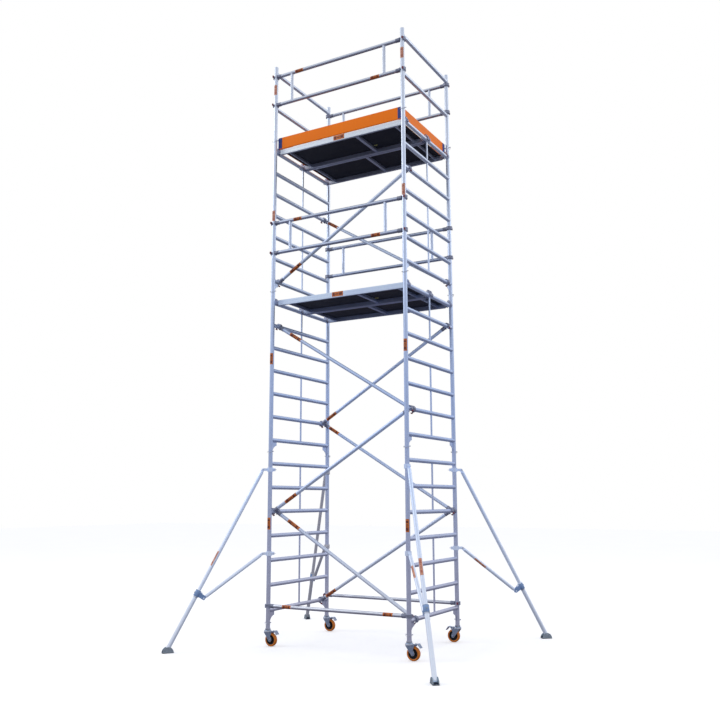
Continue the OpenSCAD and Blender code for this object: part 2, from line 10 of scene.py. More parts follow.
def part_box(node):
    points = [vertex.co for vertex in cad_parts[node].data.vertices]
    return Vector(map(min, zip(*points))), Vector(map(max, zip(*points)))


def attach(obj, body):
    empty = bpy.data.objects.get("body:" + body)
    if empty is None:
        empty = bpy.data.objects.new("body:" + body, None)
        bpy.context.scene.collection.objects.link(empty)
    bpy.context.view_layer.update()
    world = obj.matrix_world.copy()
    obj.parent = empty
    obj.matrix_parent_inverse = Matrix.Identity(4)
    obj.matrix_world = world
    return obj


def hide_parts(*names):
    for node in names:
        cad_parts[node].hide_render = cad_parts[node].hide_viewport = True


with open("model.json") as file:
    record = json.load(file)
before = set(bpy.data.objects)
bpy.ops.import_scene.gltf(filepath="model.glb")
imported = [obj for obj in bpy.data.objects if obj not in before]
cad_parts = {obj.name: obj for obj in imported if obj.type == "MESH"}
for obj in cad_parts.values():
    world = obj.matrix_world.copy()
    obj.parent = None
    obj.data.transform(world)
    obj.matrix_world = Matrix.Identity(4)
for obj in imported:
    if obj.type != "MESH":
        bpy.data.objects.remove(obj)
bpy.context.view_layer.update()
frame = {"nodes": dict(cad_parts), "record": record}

NODES = frame["nodes"]
CORNERS = ("front_left", "front_right", "rear_left", "rear_right")
X, Y, Z = Vector((1, 0, 0)), Vector((0, 1, 0)), Vector((0, 0, 1))


# ---- sizes read from the frame ----

def middle(node):
    low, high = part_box(node)
    return (low + high) / 2


frame_low, frame_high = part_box("end_frame_left_1")
COLUMN_R = (frame_high.x - frame_low.x) / 2
LEFT = middle("end_frame_left_1").x
RIGHT = middle("end_frame_right_1").x
FRONT = frame_low.y + COLUMN_R
REAR = frame_high.y - COLUMN_R
MID_Y = (FRONT + REAR) / 2
WELD_GAP = 0.0001
FRAME_BASE = frame_low.z - WELD_GAP
FRAME_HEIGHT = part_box("end_frame_left_2")[0].z - frame_low.z
RUNGS = 7
PITCH = FRAME_HEIGHT / RUNGS
BASE_LEVEL = FRAME_BASE + 0.205
RUNG_R = 0.024
MID_POST_R = 0.011
BRACE_R = 0.021
RAIL_R = 0.0225
RAIL_POST_R = 0.019
PLATFORMS = (13, 20)
DECKS = tuple(zip(("lower", "upper"), PLATFORMS))
BOARD_TOP = 0.0331
HOOK_THICK = 0.03
DECK_FACES = (0.6036, 0.6044)
RAIL_RISES = (0.642, 1.035)
GUARD_RISES = (0.515, 1.005)
LOW_BRACE_Z = BASE_LEVEL + RUNG_R + 0.025


def level(n):
    """Height of rung n above the floor."""
    return BASE_LEVEL + n * PITCH


def link(thing):
    """Puts an object into the scene."""
    bpy.context.scene.collection.objects.link(thing)


# ---- camera ----

def make_camera():
    """A 36 mm frame that looks up and to the left from the front right."""
    yaw, pitch, roll = -0.51892, 0.16762, -0.00244
    forward = Vector((sin(yaw) * cos(pitch), cos(yaw) * cos(pitch), sin(pitch)))
    level_right = Vector((cos(yaw), -sin(yaw), 0))
    level_up = level_right.cross(forward)
    right = cos(roll) * level_right + sin(roll) * level_up
    up = cos(roll) * level_up - sin(roll) * level_right
    data = bpy.data.cameras.new("camera")
    data.sensor_width = 36
    data.lens = 41.374
    data.clip_start = 0.1
    data.clip_end = 300
    camera = bpy.data.objects.new("camera", data)
    axes = Matrix((right, up, -forward)).transposed().to_4x4()
    camera.matrix_world = Matrix.Translation((5.030665, MID_Y - 8.881981, 1.680507)) @ axes
    link(camera)
    bpy.context.scene.camera = camera


# ---- node graphs ----

class Graph:
    """A small helper that builds one Principled material from procedural nodes."""

    def __init__(self, name, **constants):
        self.material = bpy.data.materials.new(name)
        self.material.use_nodes = True
        self.tree = self.material.node_tree
        self.shader = self.tree.nodes["Principled BSDF"]
        for socket, value in constants.items():
            self.shader.inputs[socket.replace("_", " ")].default_value = value
        coordinates = self.tree.nodes.new("ShaderNodeTexCoord")
        self.place = coordinates.outputs["Object"]
        self.normal = coordinates.outputs["Normal"]

    def put(self, value, socket):
        if isinstance(value, bpy.types.NodeSocket):
            self.tree.links.new(value, socket)
        elif socket.type == "RGBA" and len(value) == 3:
            socket.default_value = (*value, 1)
        else:
            socket.default_value = value

    def node(self, kind, output, inputs, **settings):
        """Adds one node and returns one of its outputs."""
        made = self.tree.nodes.new("ShaderNode" + kind)
        for name, value in settings.items():
            setattr(made, name, value)
        for key, value in inputs.items():
            self.put(value, made.inputs[key])
        return made.outputs[output]

    def stretch(self, scale, turn=(0, 0, 0)):
        """Object coordinates turned and scaled, so that noise can run along one direction."""
        return self.node("Mapping", "Vector", {"Vector": self.place, "Rotation": turn, "Scale": scale})

    def noise(self, scale, detail=3.0, roughness=0.55, vector=None, distortion=0.0):
        return self.node("TexNoise", "Fac", {"Vector": vector or self.place, "Scale": scale, "Detail": detail,
                                             "Roughness": roughness, "Distortion": distortion})

    def cells(self, scale, feature="F1", output="Distance", vector=None, randomness=1.0):
        return self.node("TexVoronoi", output, {"Vector": vector or self.place, "Scale": scale,
                                                "Randomness": randomness}, feature=feature)

    def band(self, value, low, high, start=0.0, end=1.0):
        """Maps value from low..high to start..end, held at both ends."""
        return self.node("MapRange", "Result", {"Value": value, "From Min": low, "From Max": high,
                                                "To Min": start, "To Max": end})

    def maths(self, operation, first, second=0.0):
        return self.node("Math", "Value", {0: first, 1: second}, operation=operation)

    def signed_dot(self, vector, direction):
        return self.node("VectorMath", "Value", {0: vector, 1: direction}, operation="DOT_PRODUCT")

    def dot(self, vector, direction):
        return self.maths("ABSOLUTE", self.signed_dot(vector, direction))

    def mix(self, factor, first, second):
        """Colour between first and second."""
        return self.node("Mix", 2, {"Factor": factor, 6: first, 7: second}, data_type="RGBA")

    def blend_values(self, factor, first, second):
        return self.node("Mix", 0, {"Factor": factor, 2: first, 3: second})

    def bump(self, height, depth, strength=1.0, under=None):
        """Bump of the given depth in metres; under is the bump that lies beneath it."""
        beneath = {} if under is None else {"Normal": under}
        return self.node("Bump", "Normal", {"Strength": strength, "Distance": depth, "Height": height, **beneath})

    def finish(self, colour, roughness, normal=None):
        self.put(colour, self.shader.inputs["Base Color"])
        self.put(roughness, self.shader.inputs["Roughness"])
        if normal is not None:
            self.put(normal, self.shader.inputs["Normal"])
        return self.material


def shade(colour, factor):
    """Colour made darker or lighter."""
    return tuple(c * factor for c in colour)


# ---- materials ----

# Tones of the tube's height ramp, painted reflection of floor and sky: the middle tone, a painted blue sky cast
# over the metal's own colour; a darker tone towards the foot; a paler tone at the top; and a pale foot tone for lit
# parts.
ALUMINIUM = (0.58, 0.72, 1.0)
PAINTED_LOW_REFLECTION = (0.73, 0.72, 0.83)
PAINTED_SKY_REFLECTION = (0.84, 0.91, 1.0)
PAINTED_LIT_LOW_TONE = (0.92, 0.95, 0.99)


def drawn_lines(g, direction):
    """Fine lines along one direction, as a tube keeps from its die."""
    turn = direction.rotation_difference(Z).to_euler()
    return g.noise(1.0, detail=4, roughness=0.7, vector=g.stretch((420, 420, 2.4), turn))


def aluminium(name, directions, strength=1.0, rough=(0.3, 0.46), metal=0.88, foot=None, painted_glow=0.0, inner=None,
              body=None):
    """Mill-finish tube: drawing lines along the tube, cloudy oxide, scuffs and handling marks, on a tone set by
    height that is painted reflection, plus a painted glow.

    With two directions, each point takes the lines of the tube whose axis its normal is square to.
    inner is the colour of what lies between DECK_FACES, the long outer faces of the decks: painted shade on the
    beams' inner faces and undersides.
    """
    # The bluish emission is a painted glow that lightens the tube.
    g = Graph(name, Metallic=metal, Emission_Color=(0.62, 0.78, 1.0, 1), Emission_Strength=painted_glow)
    lines = drawn_lines(g, directions[0])
    if len(directions) == 2:
        off_first = g.dot(g.normal, directions[0])
        off_second = g.dot(g.normal, directions[1])
        total = g.maths("ADD", g.maths("ADD", off_first, off_second), 0.002)
        share = g.maths("DIVIDE", off_first, total)
        lines = g.blend_values(share, lines, drawn_lines(g, directions[1]))
    clouds = g.noise(2.3, detail=5, roughness=0.62)
    blotches = g.noise(19, detail=4, distortion=0.6)
    scuffs = g.band(g.noise(46, detail=6, roughness=0.75), 0.6, 0.72)
    height = g.dot(g.place, (0, 0, 1))
    # Painted reflection: the base tone is set by height, with one tone at the foot, one in the middle and a paler
    # one at the top. strength scales these tones into lit and shaded copies.
    base = g.mix(g.band(height, 0.3, 2.6), foot or shade(PAINTED_LOW_REFLECTION, strength),
                 body or shade(ALUMINIUM, strength))
    base = g.mix(g.band(height, 3.0, 6.2), base, shade(PAINTED_SKY_REFLECTION, strength))
    base = g.mix(g.band(clouds, 0.36, 0.66, 0.1, 0.0), base, (0.3, 0.3, 0.42))
    base = g.mix(g.band(lines, 0.3, 0.72, 0.0, 0.26), base, (0.22, 0.24, 0.42))
    base = g.mix(g.band(blotches, 0.58, 0.74, 0.0, 0.22), base, (0.86, 0.88, 0.98))
    base = g.mix(g.maths("MULTIPLY", scuffs, 0.28), base, (0.2, 0.21, 0.3))
    # Painted shade: inside the long outer faces, the deck beams' inner faces and undersides are darkened towards
    # the inner colour.
    if inner:
        across = g.maths("ABSOLUTE", g.maths("ADD", g.signed_dot(g.place, (0, 1, 0)), -MID_Y))
        base = g.mix(g.band(across, *DECK_FACES, 0.42, 0.0), base, inner)
    rough_base = g.band(clouds, 0.34, 0.68, rough[0], rough[1])
    rough_all = g.maths("ADD", rough_base, g.maths("MULTIPLY", scuffs, 0.14))
    rough_all = g.maths("ADD", rough_all, g.band(lines, 0.3, 0.7, -0.04, 0.05))
    normal = g.bump(lines, 0.00006, 0.5)
    normal = g.bump(g.noise(240, detail=2), 0.00008, 0.25, normal)
    return g.finish(base, rough_all, normal)


def cast_metal(name, tint, rough=(0.42, 0.62), metal=0.8, pores=0.00025):
    """Sand-cast or forged metal: grain, pores and rubbed high spots."""
    g = Graph(name, Metallic=metal)
    grain = g.noise(330, detail=4, roughness=0.7)
    clouds = g.noise(30, detail=4)
    pits = g.band(g.cells(260), 0.0, 0.22, 1.0, 0.0)
    base = g.mix(g.band(clouds, 0.35, 0.68), shade(tint, 0.78), shade(tint, 1.1))
    base = g.mix(g.maths("MULTIPLY", pits, 0.5), base, shade(tint, 0.45))
    rough_all = g.band(clouds, 0.3, 0.7, rough[1], rough[0])
    normal = g.bump(grain, pores, 0.5)
    normal = g.bump(g.maths("SUBTRACT", 1.0, pits), pores, 0.4, normal)
    return g.finish(base, rough_all, normal)


def plated_steel(name, tint, rough=(0.22, 0.4), metal=0.95):
    """Bright zinc plate: spangle, faint clouds and a few rust-tinted spots."""
    g = Graph(name, Metallic=metal)
    spangle = g.cells(120, output="Color")
    grey = g.dot(spangle, (0.33, 0.33, 0.33))
    clouds = g.noise(38, detail=4)
    rust = g.band(g.noise(85, detail=6, roughness=0.7), 0.66, 0.76)
    base = g.mix(g.band(grey, 0.2, 0.8), shade(tint, 0.84), shade(tint, 1.08))
    base = g.mix(g.maths("MULTIPLY", rust, 0.35), base, (0.3, 0.2, 0.14))
    rough_all = g.maths("ADD", g.band(clouds, 0.3, 0.7, rough[0], rough[1]),
                        g.maths("MULTIPLY", rust, 0.25))
    normal = g.bump(g.noise(420, detail=3), 0.00006, 0.35)
    return g.finish(base, rough_all, normal)


def moulded(name, tint, rough=(0.38, 0.56), grain_depth=0.00012, coat=0.0):
    """Moulded plastic or rubber: fine grain, faded and scuffed patches."""
    g = Graph(name, Metallic=0.0, Coat_Weight=coat, Specular_IOR_Level=0.45)
    grain = g.noise(520, detail=3, roughness=0.65)
    fade = g.noise(14, detail=5, roughness=0.6)
    scratches = g.band(g.noise(1.0, detail=5, roughness=0.8, vector=g.stretch((70, 300, 120))), 0.63, 0.72)
    base = g.mix(g.band(fade, 0.32, 0.7), shade(tint, 0.86), tuple(c * 1.06 + 0.01 for c in tint))
    base = g.mix(g.maths("MULTIPLY", scratches, 0.35), base, tuple(c * 0.6 + 0.14 for c in tint))
    rough_all = g.maths("ADD", g.band(fade, 0.3, 0.7, rough[0], rough[1]),
                        g.maths("MULTIPLY", scratches, 0.15))
    normal = g.bump(grain, grain_depth, 0.6)
    return g.finish(base, rough_all, normal)


def painted_board(name, tint, along):
    """Painted softwood or ply: long grain telegraphing through the paint, dents and rubbed spots, and a painted
    glow of the paint's own colour.
    """
    # The emission of the paint's own colour is a painted glow that lightens the boards.
    g = Graph(name, Metallic=0.0, Specular_IOR_Level=0.22, Emission_Color=(*tint, 1), Emission_Strength=0.3)
    turn = along.rotation_difference(Z).to_euler()
    grain = g.noise(1.0, detail=6, roughness=0.62, vector=g.stretch((95, 95, 3.2), turn), distortion=0.5)
    fibres = g.noise(1.0, detail=3, vector=g.stretch((600, 600, 16), turn))
    fade = g.noise(3.1, detail=4)
    chips = g.band(g.noise(70, detail=5, roughness=0.72), 0.7, 0.735)
    base = g.mix(g.band(grain, 0.34, 0.68), shade(tint, 0.84), shade(tint, 1.08))
    base = g.mix(g.band(fade, 0.35, 0.65, 0.0, 0.3), base, (tint[0] * 1.05, tint[1] * 1.22, tint[2] * 1.6))
    base = g.mix(g.maths("MULTIPLY", chips, 0.75), base, (0.42, 0.27, 0.15))
    rough_all = g.band(grain, 0.3, 0.7, 0.4, 0.58)
    normal = g.bump(grain, 0.0006, 0.45)
    normal = g.bump(fibres, 0.0001, 0.4, normal)
    normal = g.bump(g.maths("SUBTRACT", 1.0, chips), 0.0003, 0.6, normal)
    return g.finish(base, rough_all, normal)


def film_board(name, tint):
    """Film-faced plywood: wire-mesh print on the faces, bare plies at the edges, worn paths."""
    g = Graph(name, Metallic=0.0, Specular_IOR_Level=0.3)
    weave = g.stretch((1.0, 1.732, 0.001), (0, 0, radians(30)))
    mesh_print = g.band(g.cells(210, "DISTANCE_TO_EDGE", vector=weave, randomness=0.05), 0.02, 0.12)
    dust = g.noise(7, detail=6, roughness=0.66)
    wear = g.band(g.noise(2.2, detail=5, roughness=0.6), 0.52, 0.72)
    facing = g.dot(g.normal, (0, 0, 1))
    is_face = g.band(facing, 0.45, 0.6)
    plies = g.band(g.maths("SINE", g.maths("MULTIPLY", g.dot(g.place, (0, 0, 1)), 4200)), -0.3, 0.3)
    film = g.mix(g.band(dust, 0.38, 0.7), shade(tint, 0.75), shade(tint, 1.25))
    film = g.mix(g.maths("MULTIPLY", wear, 0.22), film, (0.115, 0.095, 0.085))
    edge = g.mix(plies, (0.17, 0.105, 0.06), (0.36, 0.245, 0.145))
    base = g.mix(is_face, edge, film)
    rough_all = g.maths("ADD", g.band(dust, 0.3, 0.7, 0.42, 0.62), g.maths("MULTIPLY", wear, 0.1))
    normal = g.bump(mesh_print, 0.0005, 0.55)
    normal = g.bump(g.noise(160, detail=3), 0.00015, 0.3, normal)
    return g.finish(base, rough_all, normal)


def vinyl(name, tint, fade=1.15):
    """Printed self-adhesive vinyl: faded patches, small bubbles and scratches."""
    g = Graph(name, Metallic=0.0, Coat_Weight=0.25, Coat_Roughness=0.2)
    patches = g.noise(36, detail=4)
    scratches = g.band(g.noise(1.0, detail=5, roughness=0.8, vector=g.stretch((300, 260, 60))), 0.6, 0.68)
    base = g.mix(g.band(patches, 0.35, 0.66), shade(tint, 0.86), shade(tint, fade))
    base = g.mix(g.maths("MULTIPLY", scratches, 0.45), base, tuple(0.5 * c + 0.3 for c in tint))
    rough_all = g.maths("ADD", g.band(patches, 0.3, 0.7, 0.34, 0.5), g.maths("MULTIPLY", scratches, 0.2))
    normal = g.bump(g.noise(300, detail=2), 0.0001, 0.35)
    return g.finish(base, rough_all, normal)


def floor_material():
    """Pale, faintly mottled studio floor."""
    g = Graph("studio_floor", Metallic=0.0, Specular_IOR_Level=0.0, Emission_Color=(1, 1, 1, 1),
              Emission_Strength=0.36)
    clouds = g.noise(0.8, detail=5)
    base = g.mix(g.band(clouds, 0.3, 0.7), (0.9, 0.9, 0.905), (0.93, 0.93, 0.93))
    return g.finish(base, g.band(clouds, 0.3, 0.7, 0.75, 0.9), g.bump(g.noise(60), 0.0004, 0.2))


BRACE_DROP = atan2(4 * PITCH, RIGHT - LEFT)
BRACE_UP = Vector((cos(BRACE_DROP), 0, sin(BRACE_DROP)))
BRACE_DOWN = Vector((cos(BRACE_DROP), 0, -sin(BRACE_DROP)))
LOOKS = {
    # The strength, foot tone and glow given to each aluminium finish are painted light: the deck, brace and
    # stabiliser tubes are lit copies, paler than the frame.
    "frame": aluminium("aluminium_frame", (Z, Y), painted_glow=0.05),
    "rail": aluminium("aluminium_rail", (X, Z), 0.98, foot=PAINTED_LIT_LOW_TONE),
    "brace": aluminium("aluminium_brace", (BRACE_UP, BRACE_DOWN), 1.08, (0.36, 0.5), 0.6, PAINTED_LIT_LOW_TONE, 0.1),
    # Painted shade: a darker, warmer copy of the stabiliser tube for the rear left one, which stands in shade.
    "stabiliser_shaded": aluminium("aluminium_shaded", (Z,), 0.8, (0.4, 0.55), 0.2, (0.62, 0.57, 0.55), 0.09,
                                 body=(0.74, 0.69, 0.66)),
    "stabiliser": aluminium("aluminium_stabiliser", (Z,), 1.1, (0.34, 0.5), 0.62, PAINTED_LIT_LOW_TONE, 0.19),
    # The deck's inner colour is painted shade inside its beams.
    "deck": aluminium("aluminium_deck", (X, Y), 1.22, (0.34, 0.5), 0.75, inner=(0.2, 0.23, 0.31)),
    "cast": cast_metal("cast_aluminium", (0.42, 0.45, 0.58)),
    "dark_cast": cast_metal("dark_casting", (0.37, 0.4, 0.51), (0.45, 0.65), 0.6),
    "zinc": plated_steel("zinc_plate", (0.72, 0.74, 0.8)),
    "fork": plated_steel("fork_plate", (0.36, 0.44, 0.58), (0.3, 0.48), 0.8),
    "trigger": moulded("trigger_plastic", (0.24, 0.012, 0.03)),
    "clip": moulded("clip_plastic", (0.035, 0.07, 0.34)),
    "core": moulded("wheel_core_nylon", (0.01, 0.01, 0.012), (0.35, 0.55)),
    "tyre": moulded("polyurethane_tyre", (0.84, 0.235, 0.014), (0.34, 0.52), 0.00008),
    "pedal": moulded("pedal_plastic", (0.42, 0.5, 0.66)),
    "foot": cast_metal("foot_plate", (0.44, 0.52, 0.58), (0.42, 0.6), 0.5, 0.0004),
    "sole": moulded("sole_rubber", (0.012, 0.024, 0.055), (0.55, 0.75), 0.0003),
    "bracket": moulded("bracket_paint", (0.28, 0.44, 0.74), (0.35, 0.5)),
    "weld": cast_metal("weld_bead", (0.6, 0.64, 0.8), (0.28, 0.44), 0.85, 0.0001),
    "toe_x": painted_board("toe_board_paint_x", (0.86, 0.185, 0.004), X),
    "toe_y": painted_board("toe_board_paint_y", (0.86, 0.185, 0.004), Y),
    "ply": film_board("film_faced_ply", (0.009, 0.013, 0.024)),
    "latch": moulded("latch_plastic", (0.6, 0.58, 0.16)),
    "label": vinyl("label_vinyl", (0.78, 0.2, 0.02)),
    "label_print": vinyl("label_print", (0.2, 0.03, 0.012)),
    "label_faded": vinyl("label_faded", (0.9, 0.42, 0.26), 1.08),
    "print_faded": vinyl("print_faded", (0.62, 0.2, 0.13)),
}


def dress_frame():
    """Gives every CAD node its finish."""
    finishes = {
        "end_frame": "frame", "guard_frame": "frame", "spigots": "frame", "lock_pins": "zinc",
        "diagonal_braces": "brace", "horizontal_braces": "rail", "guardrail": "rail",
        "claws": "dark_cast", "claw_triggers": "trigger", "deck_frame": "deck", "deck_boards": "ply",
        "deck_hooks": "cast", "hatch": "ply", "toe_boards_long": "toe_x", "toe_boards_short": "toe_y",
        "toe_board_clips": "clip", "castor_stems": "zinc", "castor_fork": "fork",
        "castor_core": "core", "castor_tyre": "tyre", "brake_pedal": "pedal",
        "stabiliser_arm_rear_left": "stabiliser_shaded", "stabiliser_leg_rear_left": "stabiliser_shaded",
        "stabiliser_arm": "stabiliser", "stabiliser_leg": "stabiliser", "stabiliser_foot": "foot",
    }
    for name, node in NODES.items():
        finish = next(finishes[start] for start in finishes if name.startswith(start))
        for slot in node.material_slots:
            slot.material = LOOKS[finish]


# ---- piece building ----

JOINTS = {joint["name"]: joint for joint in frame["record"]["behaviour"]["joints"]}
COLUMNS = [(LEFT, FRONT), (RIGHT, FRONT), (LEFT, REAR), (RIGHT, REAR)]


def axes(origin, along, across=None):
    """Matrix that puts local z along a direction and local x as near across as it can."""
    along = Vector(along).normalized()
    hint = Vector(across) if across is not None else (X if abs(along.x) < 0.9 else Y)
    side = (hint - hint.dot(along) * along).normalized()
    turn = Matrix((side, along.cross(side), along)).transposed().to_4x4()
    return Matrix.Translation(origin) @ turn


def on_flank(side, x, y, z):
    """Matrix at the left or right flank of a part, with z pointing out of it."""
    return axes((x, side * y, z), (0, side, 0), X)


def turned(profile, steps=32, closed=True):
    """Points and faces of a profile of (radius, height) turned about z."""
    points, faces = [], []
    count = len(profile)
    for step in range(steps):
        angle = 2 * pi * step / steps
        points += [Vector((r * cos(angle), r * sin(angle), h)) for r, h in profile]
    for step in range(steps):
        here, there = step * count, (step + 1) % steps * count
        for i in range(count if closed else count - 1):
            j = (i + 1) % count
            faces.append((here + i, there + i, there + j, here + j))
    if not closed:
        faces.append(tuple(step * count for step in reversed(range(steps))))
        faces.append(tuple(step * count + count - 1 for step in range(steps)))
    return points, faces


def wire(path, radius, sides=6, loop=False, ripple=0.0, ripples=0):
    """Points and faces of a round bead along a path; ripple makes its thickness wave."""
    points, faces = [], []
    count = len(path)
    side_way = None
    for i, centre in enumerate(path):
        before = path[i - 1] if i or loop else path[0]
        after = path[(i + 1) % count] if i < count - 1 or loop else path[-1]
        turn = axes(centre, after - before, side_way)
        side_way = turn.col[0].xyz
        r = radius + ripple * cos(2 * pi * ripples * i / count)
        for side in range(sides):
            angle = 2 * pi * side / sides
            points.append(turn @ Vector((r * cos(angle), r * sin(angle), 0)))
    for i in range(count if loop else count - 1):
        here, there = i * sides, (i + 1) % count * sides
        shift = 0
        if loop and i == count - 1:
            shift = min(range(sides), key=lambda s: (points[s] - points[here]).length)
        for side in range(sides):
            j = (side + 1) % sides
            faces.append((here + side, here + j, there + (j + shift) % sides, there + (side + shift) % sides))
    if not loop:
        faces.append(tuple(reversed(range(sides))))
        faces.append(tuple((count - 1) * sides + side for side in range(sides)))
    return points, faces


def slab(outline, low, high, edge=0.001):
    """Points and faces of an outline raised from low to high, its rims chamfered."""
    count = len(outline)
    inner = []
    for i, (x, y) in enumerate(outline):
        x0, y0 = outline[i - 1]
        x1, y1 = outline[(i + 1) % count]
        first = Vector((y - y0, x0 - x)).normalized()
        second = Vector((y1 - y, x - x1)).normalized()
        out = first + second
        out = out / max(out.length_squared / 2, 0.3)
        inner.append((x - out.x * edge, y - out.y * edge))
    points = []
    for ring, height in ((inner, low), (outline, low + edge), (outline, high - edge), (inner, high)):
        points += [Vector((x, y, height)) for x, y in ring]
    faces = [tuple(reversed(range(count))), tuple(3 * count + i for i in range(count))]
    for level_start in (0, count, 2 * count):
        for i in range(count):
            j = (i + 1) % count
            faces.append((level_start + i, level_start + j, level_start + count + j, level_start + count + i))
    return points, faces


def oblong(half_x, half_y, corner, steps=5):
    """Anticlockwise rectangle with round corners, centred on the origin."""
    outline = []
    for quarter, (sx, sy) in enumerate(((1, 1), (-1, 1), (-1, -1), (1, -1))):
        for step in range(steps + 1):
            angle = pi / 2 * (quarter + step / steps)
            outline.append((sx * (half_x - corner) + corner * cos(angle),
                            sy * (half_y - corner) + corner * sin(angle)))
    return outline


def bar(x0, x1, y0, y1):
    """Anticlockwise rectangle."""
    return [(x0, y0), (x1, y0), (x1, y1), (x0, y1)]


def dome(radius, height, steps=12):
    """A rivet or button head that stands on z = 0."""
    profile = [(radius, -0.0008), (radius, 0.2 * height), (0.82 * radius, 0.68 * height),
               (0.45 * radius, 0.94 * height), (0.12 * radius, height)]
    return turned(profile, steps, closed=False)


# Turns of flat outlines and round profiles: outline y becomes z; profile height becomes y.
SIDE_ON = axes((0, 0, 0), (0, -1, 0), X)
CROSSWISE = axes((0, 0, 0), Y, X)


class Shape:
    """Gathers parts in world coordinates and turns them into one piece."""

    def __init__(self):
        self.points = []
        self.faces = []

    def add(self, part, matrix=Matrix()):
        points, faces = part
        start = len(self.points)
        self.points += [matrix @ Vector(point) for point in points]
        self.faces += [tuple(start + i for i in face) for face in faces]

    def piece(self, name, look, body, slot, instead_of=None, angle=38):
        mesh = bpy.data.meshes.new(name)
        mesh.from_pydata(self.points, [], self.faces)
        work = bmesh.new()
        work.from_mesh(mesh)
        bmesh.ops.recalc_face_normals(work, faces=work.faces)
        work.to_mesh(mesh)
        work.free()
        mesh.materials.append(LOOKS[look])
        mesh.polygons.foreach_set("use_smooth", [True] * len(mesh.polygons))
        mesh.set_sharp_from_angle(angle=radians(angle))
        made = bpy.data.objects.new(name, mesh)
        link(made)
        if instead_of:
            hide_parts(instead_of)
        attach(made, body)


# ---- welds ----

def saddle(bar_r, pipe_r, steps=30):
    """Path round a bar of local axis z where it meets a pipe along local y."""
    path = []
    for i in range(steps):
        angle = 2 * pi * i / steps
        x, y = bar_r * cos(angle), bar_r * sin(angle)
        path.append(Vector((x, y, sqrt(max(pipe_r * pipe_r - x * x, 0)))))
    return path


def bead(path, radius=0.0024):
    return wire(path, radius, loop=True, ripple=0.0004, ripples=len(path) // 2)


def make_welds():
    """Weld beads round every rung, post and gusset."""
    rung_bead = bead(saddle(RUNG_R, COLUMN_R))
    post_bead = bead(saddle(MID_POST_R, RUNG_R, 20), 0.002)
    rail_post_bead = bead(saddle(RAIL_POST_R, RAIL_R, 26), 0.002)
    for side, x in (("left", LEFT), ("right", RIGHT)):
        welds = Shape()
        heights = [level(n) for n in range(3 * RUNGS)]
        heights += [FRAME_BASE + 3 * FRAME_HEIGHT + rise for rise in GUARD_RISES]
        for z in heights:
            for y, inward in ((FRONT, Y), (REAR, -Y)):
                welds.add(rung_bead, axes((x, y, z), inward, X))
        for i in range(3):
            for n in (0, 1, 2, 4, 5):
                for step, up in ((0, Z), (1, -Z)):
                    place = (x, MID_Y, level(n + i * RUNGS + step))
                    welds.add(post_bead, axes(place, up, X))
            reach = (0.094, 0.094, 0.074)[i]
            corner = level(i * RUNGS) - RUNG_R
            for y, inward in ((FRONT, 1), (REAR, -1)):
                for dx in (-0.0032, 0.0032):
                    near = y + inward * (COLUMN_R + 0.0008)
                    down = [Vector((x + dx, near, corner - 0.004 - (reach + 0.03) * k / 24)) for k in range(25)]
                    out = [Vector((x + dx, near + inward * (0.004 + (reach - 0.006) * k / 18),
                                   corner - 0.0012)) for k in range(19)]
                    for path in (down, out):
                        welds.add(wire(path, 0.0021, ripple=0.0004, ripples=len(path) // 2))
        welds.piece(f"weld_beads_{side}", "weld", "tower", "tube")
    welds = Shape()
    for y in (FRONT, REAR):
        for n in PLATFORMS:
            for x in (LEFT + 0.25, RIGHT - 0.25):
                for rise, up in ((RAIL_RISES[0], Z), (RAIL_RISES[1], -Z)):
                    welds.add(rail_post_bead, axes((x, y, level(n) + rise), up, Y))
    welds.piece("weld_beads_guardrails", "weld", "tower", "tube")


# ---- labels ----

def wrapped(radius, thick, half_angle, length, steps=14):
    """Patch on a tube along local z, facing local x, from z = 0 to length."""
    points, faces = [], []
    for i in range(steps + 1):
        angle = half_angle * (2 * i / steps - 1)
        for r in (radius, radius + thick):
            for z in (0, length):
                points.append(Vector((r * cos(angle), r * sin(angle), z)))
    for i in range(steps):
        a, b = 4 * i, 4 * (i + 1)
        faces += [(a + 2, b + 2, b + 3, a + 3), (a, a + 1, b + 1, b),
                  (a, b, b + 2, a + 2), (a + 1, a + 3, b + 3, b + 1)]
    faces += [(0, 2, 3, 1), (4 * steps, 4 * steps + 1, 4 * steps + 3, 4 * steps + 2)]
    return points, faces


def label_on_tube(labels, prints, start, along, facing, radius, length, half_angle):
    """A label with a broad stripe and a few short bars, none of them lettering."""
    film = 0.0004
    labels.add(wrapped(radius + 0.0001, film, half_angle, length), axes(start, along, facing))
    bars = [(0.1, 0.22, 0.62), (0.36, 0.045, 0.5), (0.46, 0.045, 0.62), (0.56, 0.045, 0.42), (0.7, 0.16, 0.56)]
    for begin, size, share in bars:
        place = Vector(start) + Vector(along).normalized() * length * begin
        prints.add(wrapped(radius + film, 0.0002, half_angle * share, length * size, 8),
                   axes(place, along, facing))


